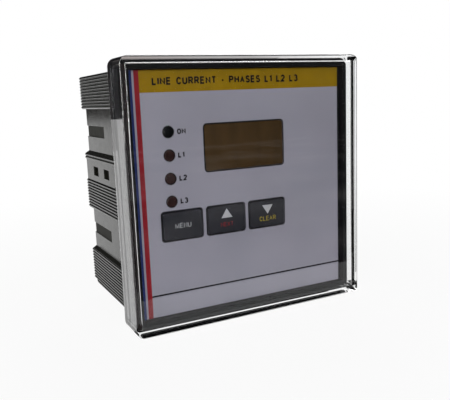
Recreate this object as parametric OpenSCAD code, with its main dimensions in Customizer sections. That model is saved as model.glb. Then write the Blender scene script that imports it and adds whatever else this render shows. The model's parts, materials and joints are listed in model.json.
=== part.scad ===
// Flush panel mounted protection relay with a clear push-on front cover.
// The panel's front face meets the rear of the bezel flange, and the housing passes through the panel.

/* [Clear cover] */
// Width and height of the square clear cover
cover_w = 96; // [94:0.5:100]
// Depth of the cover, from its front face to its rear rim
cover_d = 13.7; // [12.5:0.1:16]
// Thickness of the cover's front and walls
cover_wall = 2.2; // [1.8:0.1:2.4]
// Thickness of the cover's wall round the bezel flange
cover_rim_wall = 0.7; // [0.6:0.1:1.4]
// Corner radius of the cover
cover_r = 3; // [2.6:0.1:5]
// Rounding of the cover's front edges
cover_edge_r = 0.7; // [0.4:0.1:1.8]
// Rounding inside the cover, between its front and its walls
cover_inner_r = 0.5; // [0.3:0.1:1.5]
// Clearance between the cover and the bezel
cover_gap = 0.2; // [0.15:0.05:0.4]

/* [Bezel] */
// Distance from the inside of the cover's front to the bezel's front
bezel_setback = 2.8; // [1.6:0.1:4]
// Width of the black frame round the label
frame_w = 1.9; // [1.4:0.1:3]
// Corner radius of the bezel
bezel_r = 1.5; // [1:0.1:2.5]
// Depth of the label below the bezel's front
label_drop = 2; // [1:0.1:3]
// Thickness of the bezel flange that seats on the panel
flange_t = 2.3; // [1.6:0.1:3]
// Depth of the rebate in the flange that takes the housing's front end
rebate_d = 0.6; // [0.3:0.1:1]
// Clearance round the housing in that rebate
rebate_gap = 0.2; // [0.1:0.05:0.3]
// Length of the bezel's spigot inside the housing
spigot_l = 6.3; // [5.5:0.1:9]

/* [Front label and fascia] */
// Thickness of the printed label
label_t = 0.25; // [0.2:0.05:0.5]
// Thickness of the fascia plate
fascia_t = 2; // [1.5:0.1:2.5]
// Clearance of the fascia in the bezel
fascia_gap = 0.2; // [0.1:0.05:0.4]
// Width of the display window
display_w = 32.8; // [26:0.2:36]
// Height of the display window
display_h = 16.6; // [12:0.2:20]
// Corner radius of the display window
display_r = 1; // [0.5:0.1:2]
// Distance from the label's top edge down to the display's middle
display_drop = 27.7; // [24:0.1:30]
// Clearance round the display window
window_gap = 0.15; // [0.1:0.05:0.3]

/* [Lamps and keys] */
// Diameter of an indicator lamp
led_d = 4.1; // [3:0.1:5]
// Distance from the label's left edge to the lamps
led_inset = 13.3; // [10.5:0.1:16.5]
// Distance from the label's top edge down to the top lamp
led_drop = 21.1; // [18:0.1:22.5]
// Spacing of the lamps
led_pitch = 8.2; // [7:0.1:8.4]
// How far a lamp stands out of the label
led_proud = 0.2; // [0:0.1:1]
// Bevel round a lamp's lens
led_bevel = 0.4; // [0.2:0.1:0.8]
// Clearance round a lamp
led_gap = 0.2; // [0.1:0.05:0.4]
// Width of a key
key_w = 15.2; // [12:0.1:15.6]
// Height of a key
key_h = 10; // [8:0.1:10.4]
// Corner radius of a key
key_r = 1; // [0.5:0.1:2]
// Spacing of the keys
key_pitch = 17.6; // [17.2:0.1:20]
// Distance from the label's left edge to the middle of the first key
key_inset = 16.9; // [15:0.1:19]
// Distance from the label's top edge down to the middle of the keys
key_drop = 54.5; // [54.3:0.1:59]
// How far a key stands out of the label
key_proud = 0.6; // [0.2:0.1:1]
// Clearance round a key
key_gap = 0.35; // [0.3:0.05:0.5]
// Width of the retaining flange round a key
key_flange_w = 0.8; // [0.6:0.05:0.8]
// Thickness of the key's retaining flange
key_flange_t = 1; // [0.8:0.1:1.5]
// Travel of a key
key_travel = 0.6; // [0.3:0.1:0.8]

/* [Housing] */
// How far the cover reaches beyond the housing's ribs at each side
side_step = 3; // [2.5:0.1:4]
// How far the cover reaches beyond the housing at the top and the bottom
top_step = 4; // [2.5:0.1:5]
// Depth of the housing behind the panel face
body_d = 52.3; // [50:0.1:70]
// Thickness of the side walls behind the clamp recesses
side_wall = 3.1; // [2.6:0.1:3.6]
// Thickness of the top and bottom walls
top_wall = 3; // [2:0.1:3.5]
// Depth of the clamp recesses in the sides
recess_d = 1.9; // [1.2:0.1:2.2]
// Height of a clamp recess
recess_h = 18.4; // [14:0.1:19]
// Height of the upper ribbed block
upper_block_h = 13; // [10:0.1:15]
// Height of the narrow rib below the upper recess
rib_h = 2.5; // [2:0.1:3.5]
// Height of the plain strip with the latch windows
strip_h = 8.6; // [7.6:0.1:10]
// Depth of the plain strip below the rib crests
strip_d = 0.5; // [0.2:0.1:1]
// Height of the ribbed band below the strip
band_h = 12.2; // [9:0.1:13]
// Depth of the grooves between the ribs
groove_d = 0.4; // [0.2:0.1:1]
// Spacing of the ribs
rib_pitch = 1.22; // [1:0.02:2]
// Slope height of the shoulders beside a ribbed block
shoulder = 0.9; // [0:0.1:1.2]
// Height of a clamp slot
slot_h = 4.4; // [3:0.1:6]
// Length of a clamp slot from the back
slot_l = 25; // [15:0.5:30]
// Depth of a clamp slot below its recess
slot_d = 0.4; // [0.2:0.1:1.4]
// Length of the relief under the rear bottom edge
relief_l = 8; // [6:0.5:14]
// Height of the relief under the rear bottom edge
relief_h = 1.7; // [0.5:0.1:1.8]

/* [Latches] */
// Length of a latch window
latch_window_l = 6.8; // [5:0.1:8]
// Height of a latch window
latch_window_h = 3.6; // [3:0.1:4.2]
// Distance from the housing's back to the middle of the rear windows
latch_rear = 14.2; // [12:0.1:16]
// Spacing of the front and rear windows
latch_pitch = 14.9; // [13:0.1:16]
// Thickness of a latch arm
latch_t = 1.5; // [1.2:0.1:1.8]
// Height of a latch arm
latch_h = 5; // [4.4:0.1:6]
// How far a latch hook reaches into its window
hook_d = 2.2; // [1.5:0.1:2.6]
// Clearance of the latches and the spigot in the housing
latch_gap = 0.2; // [0.15:0.05:0.3]
// Clearance of a hook in its window
hook_gap = 0.3; // [0.2:0.05:0.5]

/* [Rear cover and terminals] */
// Thickness of the rear cover
rear_t = 2.5; // [2:0.1:3]
// Width of the ledge that the rear cover seats on
rear_ledge = 0.9; // [0.6:0.1:1]
// Clearance round the rear cover
rear_gap = 0.2; // [0.1:0.05:0.3]
// Terminals in a block
terminal_ways = 6; // [2:1:6]
// Spacing of the terminals
terminal_pitch = 10; // [9:0.1:10.2]
// Width of a block's end walls beyond its terminals
terminal_end = 1; // [0.5:0.1:1.5]
// Height of a terminal block
terminal_h = 15; // [14:0.1:15.4]
// Clearance between a terminal block and the posts of the rear cover
terminal_gap = 0.5; // [0.3:0.1:4]
// Chamfer along a terminal block's rear edges
terminal_chamfer = 1.2; // [0.5:0.1:1.6]
// Width and depth of the grooves between the terminals
groove_w = 0.8; // [0.5:0.1:1.2]
// How far the terminal blocks stand out of the housing's back
terminal_proud = 11.5; // [10.5:0.1:16]
// Width of a square wire entry
wire_w = 6; // [5.6:0.1:6.6]
// Depth of a wire entry
wire_d = 10; // [8:0.1:10.5]
// Distance from the block's rear face to a wire entry
wire_back = 3.2; // [2.8:0.1:4]
// Wall of a wire clamp
clamp_t = 0.6; // [0.4:0.05:0.65]
// Length of a wire clamp
clamp_l = 6; // [4:0.1:7]
// Clearance of a clamp in its entry
clamp_gap = 0.1; // [0.05:0.05:0.2]
// Diameter of a terminal screw's head
screw_head_d = 5; // [4:0.1:5.4]
// Height of a terminal screw's head
screw_head_h = 1.8; // [1.2:0.1:2]
// Diameter of a terminal screw's shank
screw_d = 2.9; // [2:0.1:3.4]
// Clearance round the screws
screw_gap = 0.2; // [0.1:0.05:0.3]

/* [Boards] */
// Thickness of the circuit boards
board_t = 1.6; // [1:0.1:2]
// Clearance between a board and the latch arms
board_gap = 0.3; // [0.2:0.05:0.5]
// Distance of the fixing holes from the edges of the boards
fixing_inset = 4; // [3.6:0.1:4.2]
// Space between the fascia and the display board
display_space = 7.75; // [7:0.05:9]
// Space between the display board and the main board
main_space = 11.4; // [9:0.1:13]
// Space between the terminal board and the rear cover
terminal_space = 5; // [4:0.1:6]
// Diameter of the posts that the boards are fixed to
post_d = 6; // [5.4:0.1:6.4]
// Diameter of the fixing threads
fixing_d = 2.8; // [2.4:0.1:3]
// Clearance of a fixing in its hole
fixing_gap = 0.2; // [0.1:0.05:0.3]
// Length of a fixing thread in its post
fixing_l = 4; // [3:0.1:4.6]
// Diameter of a fixing screw's head
fixing_head_d = 5.4; // [4.6:0.1:5.8]
// Height of a fixing screw's head
fixing_head_h = 2; // [1.4:0.1:2.4]
// Width of a hexagonal spacer across its flats
spacer_af = 5.5; // [5:0.1:6]

/* [Parts on the boards] */
// Width and height of a key switch
switch_w = 6.2; // [5:0.1:7]
// Height of a key switch above its board
switch_h = 3.4; // [3:0.1:4]
// Diameter of a switch plunger
plunger_d = 3.4; // [2.4:0.1:3.6]
// Clearance round a plunger
plunger_gap = 0.3; // [0.25:0.05:0.4]
// Reach of a plunger into its switch
plunger_reach = 0.6; // [0.4:0.1:0.8]
// Margin of the display module round its window
module_margin = 1; // [0.5:0.1:1.5]
// Clearance between the display module and the fascia
module_gap = 0.2; // [0.1:0.05:0.4]
// Height of the numerals in the display module
digit_h = 9.2; // [7:0.1:10]
// Numerals in the display module
digit_count = 4; // [1:1:4]
// Width of a numeral between the middles of its upright bars
digit_w = 5; // [4:0.1:5]
// Width of a numeral's bars
bar_w = 1.2; // [0.8:0.1:1.3]
// Gap between the bars of a numeral
bar_gap = 0.2; // [0.1:0.05:0.3]
// Depth of the bars in the display module's face
bar_d = 0.4; // [0.2:0.1:0.6]
// Outer diameter of a current transformer
ct_d = 18; // [16:0.1:19]
// Bore of a current transformer
ct_bore = 7; // [6:0.1:9]
// Width of a current transformer
ct_w = 10; // [8:0.1:12]
// Distance from the board's side edges to the spaces of the current transformers
ct_edge = 4; // [2:0.1:5]
// Distance from the board's top edge down to the middle of the current transformers
ct_drop = 18; // [17:0.1:20]
// Thickness of a primary link
link_t = 2; // [1.5:0.1:2.5]
// Clearance between a primary link and its transformer
link_gap = 1; // [0.5:0.1:2]
// Width of the supply transformer's core
core_w = 30; // [27:0.1:32]
// Height of the supply transformer's core above its board
core_h = 19; // [18:0.1:21]
// Distance from the board's left edge to the core
core_edge = 3; // [2:0.1:4]
// Distance from the board's lower edge to the core's middle
core_rise = 15; // [14:0.1:16]
// Thickness of the core's stack of laminations
core_t = 14; // [10:0.1:15]
// Thickness of the supply transformer's coil
coil_t = 4.6; // [3:0.1:4.8]
// Clearance round the coil
coil_gap = 0.3; // [0.2:0.05:0.5]
// Width of an output relay
relay_w = 13; // [11:0.1:14.6]
// Length of an output relay
relay_l = 19; // [16:0.1:20]
// Height of an output relay
relay_h = 15.4; // [12:0.1:17]
// Space between the output relays
relay_gap = 1.6; // [1:0.1:3]
// Distance from the board's right edge to the outer relay
relay_edge = 3.8; // [3:0.1:5]
// Distance from the board's lower edge to the relays' middle
relay_rise = 17; // [16.6:0.1:18]

/* [Hidden] */
$fn = 48;
// Overlap that makes a cut pass cleanly through a face
cut = 1;
// Free play between a key's flange and the fascia
key_play = 0.12;

// Depths, counted from the cover's front face
y_frame = cover_wall + bezel_setback;
y_label = y_frame + label_drop;
y_fascia = y_label + label_t;
y_ledge = y_fascia + fascia_t;
y_seat = cover_d;
y_housing = y_seat - rebate_d;
y_back = y_seat + body_d;
y_end = y_back + terminal_proud;
y_display_board = y_ledge + display_space;
y_main_board = y_display_board + board_t + main_space;
y_rear_cover = y_back - rear_t;
y_terminal_board = y_rear_cover - terminal_space - board_t;
y_key_flange = y_ledge + key_play;
y_key_back = y_key_flange + key_flange_t;
y_switch = y_display_board - switch_h;

// Front sizes
cover_in = cover_w - 2 * cover_wall;
bezel_w = cover_in - 2 * cover_gap;
rim_in = cover_w - 2 * cover_rim_wall;
flange_w = rim_in - 2 * cover_gap;
pocket_w = bezel_w - 2 * frame_w;
fascia_w = pocket_w - 2 * fascia_gap;
display_z = fascia_w / 2 - display_drop;
led_x = led_inset - fascia_w / 2;
key_z = fascia_w / 2 - key_drop;

// Housing sizes
body_w = cover_w - 2 * side_step;
body_h = cover_w - 2 * top_step;
crest_x = body_w / 2;
floor_x = crest_x - recess_d;
strip_x = crest_x - strip_d;
cavity_w = 2 * (floor_x - side_wall);
cavity_h = body_h - 2 * top_wall;
latch_x = cavity_w / 2 - latch_gap;
spigot_in_w = 2 * (latch_x - latch_t);
spigot_in_h = cavity_h - 2 * (latch_gap + latch_t);

// Heights of the side blocks, from the top down
block_top = body_h / 2;
recess_top = block_top - upper_block_h;
rib_top = recess_top - recess_h;
strip_top = rib_top - rib_h;
band_top = strip_top - strip_h;
band_bottom = band_top - band_h;
lower_top = band_bottom - recess_h;
latch_z = strip_top - strip_h / 2;
slot_zs = [recess_top - recess_h / 2, band_bottom - recess_h / 2];
y_rear_latch = y_back - latch_rear;
y_front_latch = y_rear_latch - latch_pitch;

// Rib profile: shares of the spacing taken by a groove's floor and by each flank
groove_share = 0.08;
flank_share = 0.28;

// Board sizes
board_w = spigot_in_w - 2 * board_gap;
board_h = spigot_in_h - 2 * board_gap;
fixing_x = board_w / 2 - fixing_inset;
fixing_z = board_h / 2 - fixing_inset;

// Parts on the main board: middle in X and Z, then width, height and depth
processor_at = [-4, 4];
processor_size = [14, 14, 1.4];
memory_at = [-20, 12];
memory_size = [5, 6, 1.5];
crystal_at = [-20, 0];
crystal_size = [11, 4.6, 2.4];

// Pin headers that join one board to the next
header_size = [20.3, 5];
front_header_at = [-15, 10 - board_h / 2];
rear_header_at = [board_w / 2 - 15, 5.2];

// Parts on the terminal board: middle in X and Z, then width, height and depth
rectifier_at = [-4, -2];
rectifier_size = [8.5, 6.5, 3.6];
regulator_at = [7, -2];
regulator_size = [10, 4.5, 16];
capacitor_d = 10;
capacitor_h = 16;
capacitor_x = 7 - board_w / 2;
capacitor_z = -2;
capacitor_pitch = capacitor_d + 2;
varistor_d = 7;
varistor_t = 4;
varistor_at = [4.5 - board_w / 2, 7.2];
relay_at = [board_w / 2 - relay_edge - relay_w / 2, relay_rise - board_h / 2];
ct_pitch = (board_w - 2 * ct_edge) / 3;
ct_z = board_h / 2 - ct_drop;
ct_foot_w = 0.6 * ct_d;

// Supply transformer
core_at = [core_edge + core_w / 2 - board_w / 2, core_rise - board_h / 2];
core_leg = core_w / 3;
core_side = core_w / 6;
core_window_h = core_h - 2 * core_side;
core_window_w = (core_w - core_leg - 2 * core_side) / 2;
y_core_window = -core_side - core_window_h;

// Terminal sizes
terminal_w = terminal_ways * terminal_pitch + 2 * terminal_end;
terminal_z = fixing_z - (post_d + terminal_h) / 2 - terminal_gap;
y_wire = y_end - wire_back - wire_w;
clamp_w = wire_w - 2 * clamp_gap;
z_wire_floor = terminal_h / 2 - wire_d;
z_screw = z_wire_floor + clamp_gap + clamp_l / 2;

function led_z(i) = fascia_w / 2 - led_drop - i * led_pitch;
function key_x(i) = key_inset - fascia_w / 2 + i * key_pitch;
function ct_x(i) = (i - 1) * ct_pitch;
function way_x(i) = (i - (terminal_ways - 1) / 2) * terminal_pitch;

// Moves the cover's front centre to its place: the model stands on Z = 0 and is centred over the origin
module placed() {
    translate([0, -y_end / 2, cover_w / 2]) children();
}

// Rectangle with round corners, centred
module rounded(w, h, r) {
    square([w - 2 * r, h], center = true);
    square([w, h - 2 * r], center = true);
    for (x = [-1, 1], z = [-1, 1])
        translate([x * (w / 2 - r), z * (h / 2 - r)]) circle(r);
}

// Extrudes an outline drawn in X and Z from depth y0 to depth y1
module between(y0, y1) {
    translate([0, y1, 0]) rotate([90, 0, 0]) linear_extrude(y1 - y0) children();
}

// Upright plate with round corners
module plate(w, h, r, y0, y1) {
    between(y0, y1) rounded(w, h, r);
}

// Upright block centred on x and z
module block(x, z, w, h, y0, y1) {
    translate([x - w / 2, y0, z - h / 2]) cube([w, y1 - y0, h]);
}

// Round post or hole along Y
module post(x, z, d, y0, y1) {
    translate([x, y0, z]) rotate([-90, 0, 0]) cylinder(d = d, h = y1 - y0);
}

// Repeats a shape at the four board fixings
module at_fixings() {
    for (x = [-1, 1], z = [-1, 1])
        translate([x * fixing_x, 0, z * fixing_z]) children();
}

// Repeats a shape on the left and right sides
module both_sides() {
    for (m = [0, 1]) mirror([m, 0, 0]) children();
}

// Openings of the front for the window, the lamps and the keys
module front_openings() {
    translate([0, display_z])
        rounded(display_w + 2 * window_gap, display_h + 2 * window_gap, display_r + window_gap);
    for (i = [0:3]) translate([led_x, led_z(i)]) circle(d = led_d + 2 * led_gap);
    for (i = [0:2]) translate([key_x(i), key_z]) rounded(key_w + 2 * key_gap, key_h + 2 * key_gap, key_r);
}

// Outline of width w from depth y0 to depth y1, with its two front corners rounded
module round_front(w, r, y0, y1) {
    translate([-w / 2, y0 + r]) square([w, y1 - y0 - r]);
    translate([-w / 2 + r, y0]) square([w - 2 * r, y1 - y0]);
    for (x = [-1, 1]) translate([x * (w / 2 - r), y0 + r]) circle(r);
}

// Square block with round corners, its front edges rounded too
module soft_block(w, corner_r, edge_r, y0, y1) {
    intersection() {
        plate(w, w, corner_r, y0, y1);
        linear_extrude(w, center = true) round_front(w, edge_r, y0, y1);
        rotate([0, 90, 0]) linear_extrude(w, center = true) round_front(w, edge_r, y0, y1);
    }
}

module clear_cover() {
    color("lightcyan", 0.35) difference() {
        soft_block(cover_w, cover_r, cover_edge_r, 0, cover_d);
        soft_block(cover_in, cover_r - cover_wall, cover_inner_r, cover_wall, cover_d + cut);
        plate(rim_in, rim_in, cover_r - cover_rim_wall, y_seat - flange_t - cover_gap, cover_d + cut);
    }
}

// Latch arm on the right side, from depth y0 to y1, with the hook's catch at y_catch and its tip at y_tip
module latch(y0, y1, y_catch, y_tip) {
    block(latch_x - latch_t / 2, latch_z, latch_t, latch_h, y0, y1);
    hook = [[latch_x - latch_t / 2, y_catch], [latch_x + hook_d, y_catch], [latch_x - latch_t / 2, y_tip]];
    translate([0, 0, latch_z]) linear_extrude(latch_window_h - 2 * hook_gap, center = true) polygon(hook);
}

module front_bezel() {
    y_catch = y_front_latch - latch_window_l / 2 + hook_gap;
    y_tip = y_front_latch + latch_window_l / 2 - hook_gap;
    color("#1c1d20") {
        difference() {
            union() {
                difference() {
                    union() {
                        plate(bezel_w, bezel_w, bezel_r, y_frame, y_seat);
                        plate(flange_w, flange_w, cover_r - cover_rim_wall, y_seat - flange_t, y_seat);
                    }
                    block(0, 0, body_w + 2 * rebate_gap, body_h + 2 * rebate_gap, y_housing, y_seat + cut);
                }
                block(0, 0, 2 * latch_x, cavity_h - 2 * latch_gap, y_ledge, y_seat + spigot_l);
            }
            block(0, 0, pocket_w, pocket_w, y_frame - cut, y_ledge);
            block(0, 0, spigot_in_w, spigot_in_h, y_frame, y_seat + spigot_l + cut);
        }
        both_sides() latch(y_ledge, y_tip, y_catch, y_tip);
    }
}

module fascia_plate() {
    color("#26272b") difference() {
        union() {
            block(0, 0, fascia_w, fascia_w, y_fascia, y_ledge);
            at_fixings() post(0, 0, post_d, y_ledge - fascia_t / 2, y_display_board);
        }
        between(y_fascia - cut, y_ledge + cut) front_openings();
        at_fixings()
            post(0, 0, fixing_d + fixing_gap,
                 y_display_board - fixing_l - fixing_gap, y_display_board + cut);
    }
}

module front_label() {
    color("gainsboro") between(y_label, y_fascia) difference() {
        square(fascia_w, center = true);
        front_openings();
    }
}

module display_window() {
    color("#40321f", 0.8) translate([0, 0, display_z])
        plate(display_w, display_h, display_r, y_label, y_ledge);
}

// Indicator lamp: a flat lens with a bevelled rim, on a spacer that stands on the display board
module lamp(i, shade) {
    y_lens = y_label - led_proud;
    y_spacer = y_ledge + display_space / 2;
    color(shade) translate([led_x, 0, led_z(i)]) {
        translate([0, y_lens, 0]) rotate([-90, 0, 0])
            cylinder(d1 = led_d - 2 * led_bevel, d2 = led_d, h = led_bevel);
        post(0, 0, led_d, y_lens + led_bevel, y_spacer);
        post(0, 0, led_d + 2 * led_gap, y_spacer, y_display_board);
    }
}

module led_on() { lamp(0, "#1a241c"); }
module led_l1() { lamp(1, "#3a2422"); }
module led_l2() { lamp(2, "#3a2422"); }
module led_l3() { lamp(3, "#3a2422"); }

// Key cap with a flange that holds it behind the fascia
module key(i) {
    color("#34373c") translate([key_x(i), 0, key_z]) {
        plate(key_w, key_h, key_r, y_label - key_proud, y_key_back);
        plate(key_w + 2 * key_flange_w, key_h + 2 * key_flange_w, key_r, y_key_flange, y_key_back);
    }
}

module key_mode() { key(0); }
module key_up() { key(1); }
module key_down() { key(2); }

// Plunger behind a key, and the switch on the display board that it presses
module plunger(i) {
    color("black") post(key_x(i), key_z, plunger_d, y_key_back, y_switch + plunger_reach);
}

module key_switch(i) {
    well = plunger_reach + key_travel + plunger_gap;
    color("dimgray") difference() {
        block(key_x(i), key_z, switch_w, switch_w, y_switch, y_display_board);
        post(key_x(i), key_z, plunger_d + 2 * plunger_gap, y_switch - cut, y_switch + well);
    }
}

module plunger_mode() { plunger(0); }
module plunger_up() { plunger(1); }
module plunger_down() { plunger(2); }
module switch_mode() { key_switch(0); }
module switch_up() { key_switch(1); }
module switch_down() { key_switch(2); }

// Seven bars of one numeral, as an outline centred on the origin
module numeral() {
    level_l = digit_w - bar_w - 2 * bar_gap;
    upright_l = (digit_h - bar_w) / 2 - bar_w;
    for (z = [-1, 0, 1]) translate([0, z * (digit_h - bar_w) / 2]) square([level_l, bar_w], center = true);
    for (x = [-1, 1], z = [-1, 1])
        translate([x * digit_w / 2, z * (digit_h - bar_w) / 4]) square([bar_w, upright_l], center = true);
}

module display_module() {
    y_face = y_ledge + module_gap;
    spacing = display_w / digit_count;
    color("#202020") translate([0, 0, display_z]) difference() {
        block(0, 0, display_w + 2 * module_margin, display_h + 2 * module_margin, y_face, y_display_board);
        for (i = [0:digit_count - 1])
            translate([(i - (digit_count - 1) / 2) * spacing, 0, 0])
                between(y_face - cut, y_face + bar_d) numeral();
    }
}

// Circuit board with its four fixing holes
module board(y) {
    difference() {
        block(0, 0, board_w, board_h, y, y + board_t);
        at_fixings() post(0, 0, fixing_d + 2 * fixing_gap, y - cut, y + board_t + cut);
    }
}

module display_board() { color("darkgreen") board(y_display_board); }
module main_board() { color("darkgreen") board(y_main_board); }
module terminal_board() { color("darkgreen") board(y_terminal_board); }

// Hexagonal spacers: studs go through the display board into the fascia, and the main board is screwed on
module board_spacers() {
    y0 = y_display_board + board_t;
    color("silver") at_fixings() difference() {
        union() {
            translate([0, y0, 0]) rotate([-90, 0, 0])
                cylinder(d = spacer_af / cos(30), h = main_space, $fn = 6);
            post(0, 0, fixing_d, y_display_board - fixing_l, y0);
        }
        post(0, 0, fixing_d + fixing_gap, y_main_board - fixing_l - fixing_gap, y_main_board + cut);
    }
}

// Screw along Y with its head at depth y and its shank towards way, which is 1 or -1
module fixing_screw(y, way) {
    y_head = y - way * fixing_head_h;
    y_slot = y - way * fixing_head_h / 2;
    y_out = y_head - way * cut;
    y_tip = y + way * (board_t + fixing_l);
    difference() {
        union() {
            post(0, 0, fixing_head_d, min(y, y_head), max(y, y_head));
            post(0, 0, fixing_d, min(y, y_tip), max(y, y_tip));
        }
        block(0, 0, fixing_head_d + cut, fixing_head_h / 3, min(y_out, y_slot), max(y_out, y_slot));
    }
}

module main_board_screws() { color("silver") at_fixings() fixing_screw(y_main_board + board_t, -1); }
module terminal_board_screws() { color("silver") at_fixings() fixing_screw(y_terminal_board, 1); }

// Pin header between the boards at depths y0 and y1
module header(at, y0, y1) {
    color("#222222") block(at[0], at[1], header_size[0], header_size[1], y0, y1);
}

module front_header() { header(front_header_at, y_display_board + board_t, y_main_board); }
module rear_header() { header(rear_header_at, y_main_board + board_t, y_terminal_board); }

// Sets parts that are drawn from depth 0 on a board's face at depth y
module on_board(y) {
    translate([0, y, 0]) children();
}

// Block-shaped part on the rear of the main board
module on_main(at, size) {
    on_board(y_main_board + board_t) block(at[0], at[1], size[0], size[1], 0, size[2]);
}

module processor() { color("#1b1b1b") on_main(processor_at, processor_size); }
module memory_chip() { color("#1b1b1b") on_main(memory_at, memory_size); }
module crystal() { color("silver") on_main(crystal_at, crystal_size); }

// Block-shaped part on the front of the terminal board
module on_terminal(at, size) {
    on_board(y_terminal_board) block(at[0], at[1], size[0], size[1], -size[2], 0);
}

// Ring current transformer on a foot, its bore upright
module current_transformer(i) {
    color("#1d3f73") on_board(y_terminal_board) translate([ct_x(i), -ct_d / 2, ct_z]) difference() {
        union() {
            cylinder(d = ct_d, h = ct_w, center = true);
            block(0, 0, ct_foot_w, ct_w, ct_bore / 2, ct_d / 2);
        }
        cylinder(d = ct_bore, h = ct_w + 2 * cut, center = true);
    }
}

module ct_l1() { current_transformer(0); }
module ct_l2() { current_transformer(1); }
module ct_l3() { current_transformer(2); }

// Copper links through the three transformers' bores, with both legs on the terminal board
module ct_primary_links() {
    leg_z = ct_w / 2 + link_gap + link_t / 2;
    color("peru") on_board(y_terminal_board) for (i = [0:2]) translate([ct_x(i), -ct_d / 2, ct_z]) {
        block(0, 0, link_t, 2 * leg_z + link_t, -link_t / 2, link_t / 2);
        for (z = [-1, 1]) block(0, z * leg_z, link_t, link_t, -link_t / 2, ct_d / 2);
    }
}

// Supply transformer: a core of laminations with a centre leg, and a coil round that leg
module transformer_core() {
    color("#7d7f82") on_board(y_terminal_board) translate([core_at[0], 0, core_at[1]]) difference() {
        block(0, 0, core_w, core_t, -core_h, 0);
        for (x = [-1, 1])
            block(x * (core_leg + core_window_w) / 2, 0, core_window_w, core_t + 2 * cut,
                  y_core_window, y_core_window + core_window_h);
    }
}

module transformer_coil() {
    color("#a85a1c") on_board(y_terminal_board) translate([core_at[0], 0, core_at[1]]) difference() {
        block(0, 0, core_leg + 2 * (core_window_w - coil_gap), core_t + 2 * coil_t,
              y_core_window + coil_gap, y_core_window + core_window_h - coil_gap);
        block(0, 0, core_leg + 2 * coil_gap, core_t + 2 * coil_gap,
              y_core_window, y_core_window + core_window_h);
    }
}

module bridge_rectifier() { color("#1b1b1b") on_terminal(rectifier_at, rectifier_size); }
module voltage_regulator() { color("#1b1b1b") on_terminal(regulator_at, regulator_size); }

module filter_capacitors() {
    color("#24324f") on_board(y_terminal_board)
        for (i = [0, 1]) post(capacitor_x + i * capacitor_pitch, capacitor_z, capacitor_d, -capacitor_h, 0);
}

// Disc that stands on its rim, on a narrow foot
module varistor() {
    radius = varistor_d / 2;
    color("#c0571f") on_board(y_terminal_board) translate([varistor_at[0], -radius, varistor_at[1]]) {
        rotate([0, 90, 0]) cylinder(r = radius, h = varistor_t, center = true);
        block(0, 0, varistor_t, radius, 0, radius);
    }
}

// Output relays, side by side
module output_relay(i) {
    x = relay_at[0] - i * (relay_w + relay_gap);
    color("#2b4fa0") on_terminal([x, relay_at[1]], [relay_w, relay_l, relay_h]);
}

module trip_relay() { output_relay(0); }
module alarm_relay() { output_relay(1); }

// Side view of a terminal block, with its rear edges chamfered
module terminal_profile() {
    half_h = terminal_h / 2;
    y_edge = y_end - terminal_chamfer;
    z_edge = half_h - terminal_chamfer;
    polygon([[y_terminal_board + board_t, -half_h], [y_edge, -half_h], [y_end, -z_edge], [y_end, z_edge],
             [y_edge, half_h], [y_terminal_board + board_t, half_h]]);
}

// Upper terminal block: wires enter from above, screws face the rear, grooves part the terminals
module terminal_block() {
    color("#2c2e2d") translate([0, 0, terminal_z]) difference() {
        translate([-terminal_w / 2, 0, 0]) rotate([90, 0, 90])
            linear_extrude(terminal_w) terminal_profile();
        for (i = [0:terminal_ways - 1]) translate([way_x(i), 0, 0]) {
            translate([-wire_w / 2, y_wire, z_wire_floor]) cube([wire_w, wire_w, wire_d + cut]);
            post(0, z_screw, screw_head_d + 2 * screw_gap, y_wire + wire_w / 2, y_end + cut);
        }
        for (i = [1:terminal_ways - 1])
            block(way_x(i) - terminal_pitch / 2, 0, groove_w, terminal_h + cut,
                  y_end - groove_w, y_end + cut);
    }
}

module terminal_block_upper() { terminal_block(); }
module terminal_block_lower() { mirror([0, 0, 1]) terminal_block(); }

// Repeats a shape at each terminal of both blocks
module at_terminals() {
    for (m = [0, 1]) mirror([0, 0, m])
        for (i = [0:terminal_ways - 1])
            translate([way_x(i), 0, terminal_z]) children();
}

// Slotted screws that close the clamps
module terminal_screws() {
    y_tip = y_wire + wire_w - clamp_gap - clamp_t + screw_gap / 2;
    y_head = y_end - wire_back + clamp_gap + screw_gap;
    y_top = y_head + screw_head_h;
    slot = screw_head_h / 2;
    color("silver") at_terminals() difference() {
        union() {
            post(0, z_screw, screw_d, y_tip, y_head);
            post(0, z_screw, screw_head_d, y_head, y_top);
        }
        block(0, z_screw, screw_head_d + cut, slot, y_top - slot, y_top + cut);
    }
}

// Square brass sleeves that the wires go into
module terminal_clamps() {
    z0 = z_wire_floor + clamp_gap;
    y0 = y_wire + clamp_gap;
    color("darkgoldenrod") at_terminals() difference() {
        translate([-clamp_w / 2, y0, z0]) cube([clamp_w, clamp_w, clamp_l]);
        translate([-clamp_w / 2 + clamp_t, y0 + clamp_t, z0 - cut])
            cube([clamp_w - 2 * clamp_t, clamp_w - 2 * clamp_t, clamp_l + 2 * cut]);
        post(0, z_screw, screw_d + 2 * screw_gap, y0 + clamp_w / 2, y0 + clamp_w + cut);
    }
}

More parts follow.
